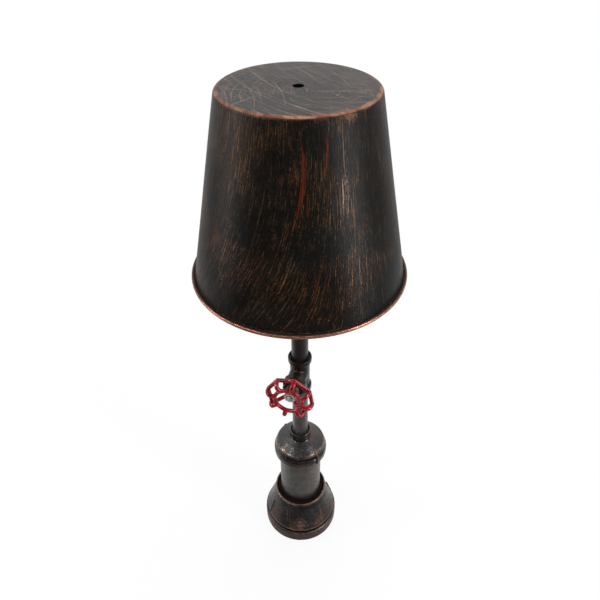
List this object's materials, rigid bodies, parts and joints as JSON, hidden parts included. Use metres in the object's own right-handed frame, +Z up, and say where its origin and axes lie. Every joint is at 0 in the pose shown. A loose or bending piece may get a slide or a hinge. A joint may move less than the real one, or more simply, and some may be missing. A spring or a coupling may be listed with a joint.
{
  "type": "table lamp",
  "caption": "table lamp made of threaded pipe and cast fittings, with a flared base, a tee that carries a red eight-ribbed handwheel, and a tall closed-top metal cone shade",
  "frame": {"origin": "centre of the base's underside, on the axis of the pipes", "axes": "+Z up along the pipes, -Y to the front, where the tee's branch and the handwheel point, +X to the right seen from the front"},
  "size_m": [0.2386, 0.2386, 0.693],
  "materials": {
    "aged_steel_shade": "near-black brown lacquer over copper, brushed through in streaks and at the edges",
    "bright_wire": "zinc plated",
    "black_pipe": "satin black-brown pipe",
    "aged_iron": "rough dark casting with copper-coloured wear on the edges",
    "raw_iron": "as cast",
    "red_enamel": "glossy dark red enamel",
    "nickel": "nickel plated, slightly tarnished",
    "steel": "zinc plated",
    "rubber": "matte",
    "brass": "satin",
    "black_moulding": "moulded",
    "board": "phenolic board",
    "porcelain": "glazed",
    "clear_glass": "clear",
    "filament": "phosphor-coated filament sticks",
    "wire_insulation": "plain",
    "earth_insulation": "plain"
  },
  "bodies": {
    "stand": {"shade_shell": "aged_steel_shade", "shade_rim_wire": "bright_wire", "shade_spider": "bright_wire", "column_pipe": "black_pipe", "lower_pipe": "black_pipe", "upper_pipe": "black_pipe", "base_bell": "aged_iron", "reducer_fitting": "aged_iron", "tee_fitting": "aged_iron", "branch_bush": "aged_iron", "pipe_bushing": "aged_iron", "ballast": "raw_iron", "base_plate": "steel", "base_plate_screws": "steel", "ballast_screws": "steel", "earth_screw": "steel", "terminal_block_screws": "steel", "switch_housing": "steel", "switch_washer": "steel", "switch_nut": "steel", "holder_locknut": "steel", "foot_pad": "rubber", "cable_grommet": "rubber", "earth_tag": "brass", "switch_terminals": "brass", "holder_nipple": "brass", "holder_shell": "brass", "holder_contact": "brass", "bulb_cap": "brass", "terminal_block": "black_moulding", "holder_cap": "black_moulding", "holder_sleeve": "black_moulding", "shade_ring_lower": "black_moulding", "shade_ring_upper": "black_moulding", "bulb_contact": "black_moulding", "switch_cover": "board", "switch_track": "board", "holder_insulator": "porcelain", "bulb_glass": "clear_glass", "bulb_stem": "clear_glass", "bulb_filaments": "filament", "lead_lower": "wire_insulation", "lead_upper": "wire_insulation", "lead_earth": "earth_insulation"},
    "wheel": {"handwheel": "red_enamel", "stem": "steel", "stem_clip": "steel", "wheel_washer": "nickel", "wheel_screw": "nickel", "switch_rotor": "black_moulding", "switch_wiper": "bright_wire"}
  },
  "joints": [
    {"name": "wheel_turn", "type": "hinge", "parent": "stand", "child": "wheel", "pos_m": [0, -0.046, 0.327], "axis": [0, 1, 0], "range_deg": [0, 270]}
  ]
}
